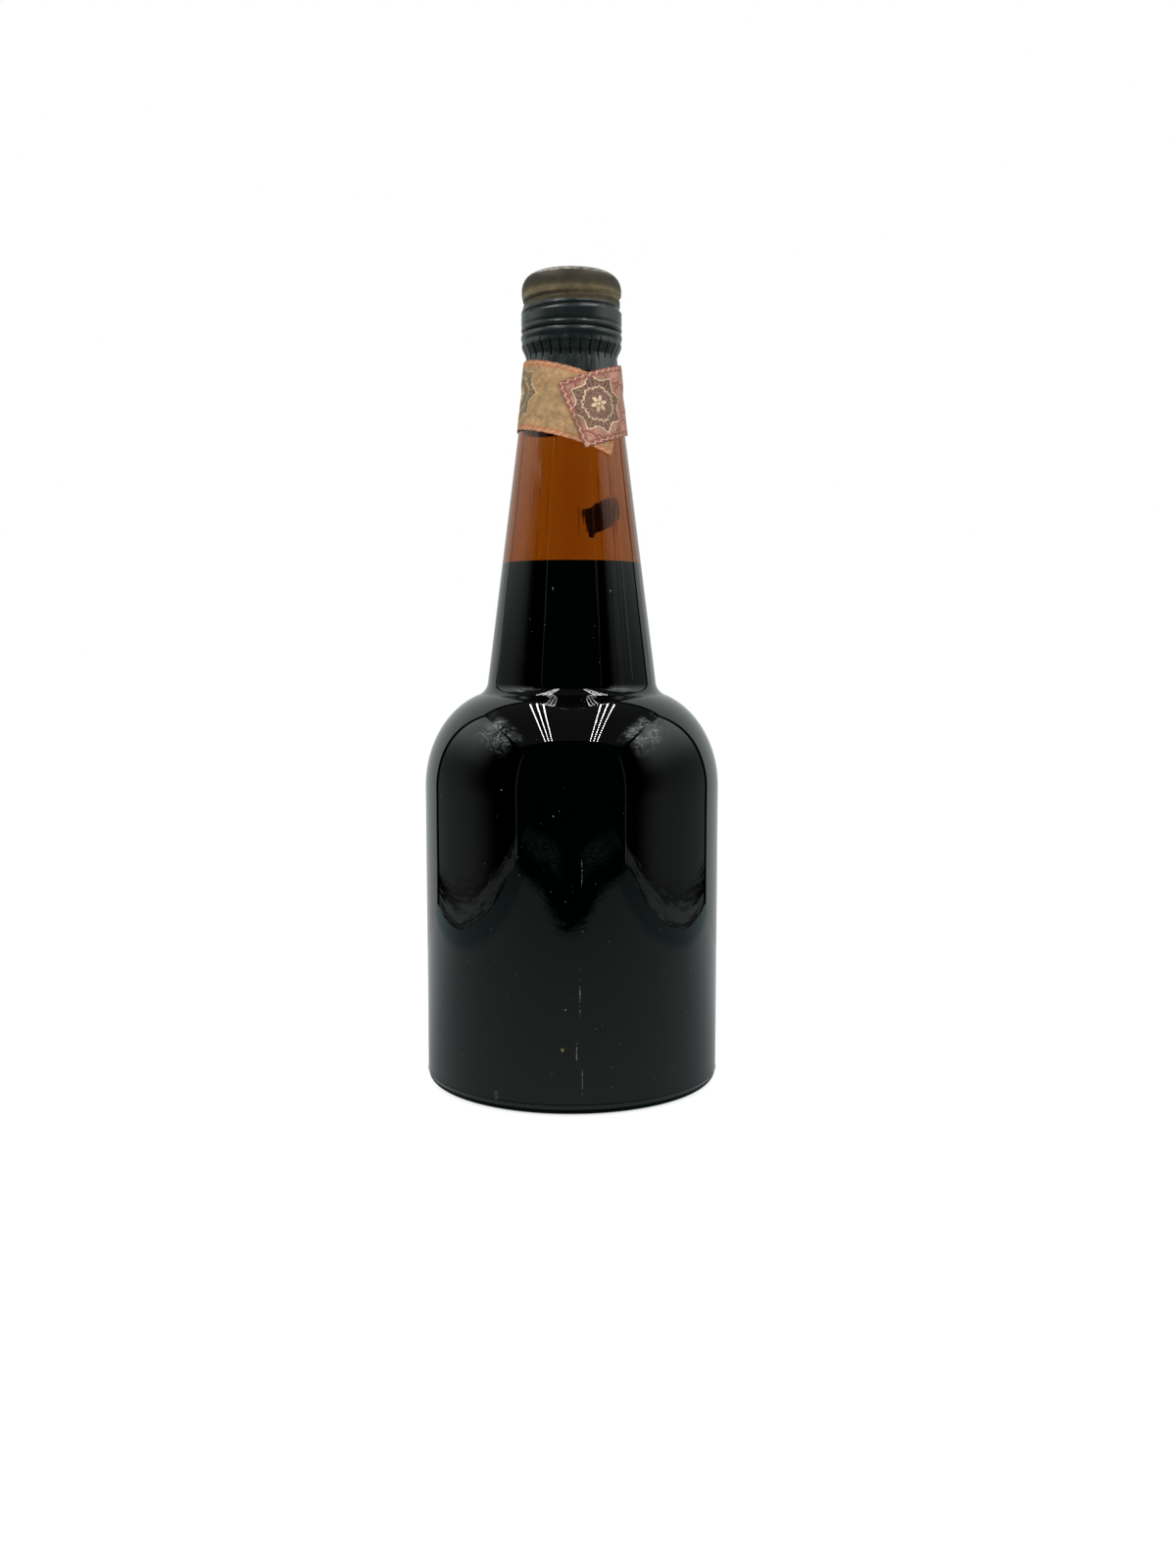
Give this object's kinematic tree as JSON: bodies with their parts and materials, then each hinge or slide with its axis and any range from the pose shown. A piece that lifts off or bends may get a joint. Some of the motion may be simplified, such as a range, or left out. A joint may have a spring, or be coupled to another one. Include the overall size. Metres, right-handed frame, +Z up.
{
  "type": "liqueur bottle",
  "caption": "Round amber glass spirit bottle with a domed shoulder, long tapered neck, dark liqueur inside, rolled-on screw cap, crimped tamper band and paper neck strip.",
  "frame": {"origin": "centre of the base, on the plane that the bottle stands on", "axes": "+Z up along the bottle's axis; the back of the neck, where the paper strip's ends cross, faces -Y"},
  "size_m": [0.0946, 0.095, 0.2575],
  "materials": {
    "amber_glass": "gloss",
    "liqueur": "gloss",
    "cap_enamel": "satin",
    "band_enamel": "satin",
    "pressed_cork": "matte",
    "tin_foil": "satin",
    "strip_paper": "matte",
    "scrap_paper": "matte"
  },
  "bodies": {
    "bottle": {"bottle_glass": "amber_glass", "liqueur": "liqueur", "tamper_band": "band_enamel", "tax_strip": "strip_paper", "neck_scrap": "scrap_paper"},
    "liner": {"liner_wad": "pressed_cork", "liner_facing": "tin_foil"},
    "cap": {"cap_shell": "cap_enamel"}
  },
  "joints": [
    {"name": "cap_lift", "type": "slide", "parent": "bottle", "child": "liner", "axis": [0, 0, 1], "range_m": [0, 0.0217]},
    {"name": "cap_turn", "type": "hinge", "parent": "liner", "child": "cap", "pos_m": [0, 0, 0.2484], "axis": [0, 0, 1], "range_deg": [0, 2160]}
  ],
  "couplings": [
    {"joint": "cap_lift", "follows": "cap_turn", "m_per_rad": 0.00057296}
  ]
}
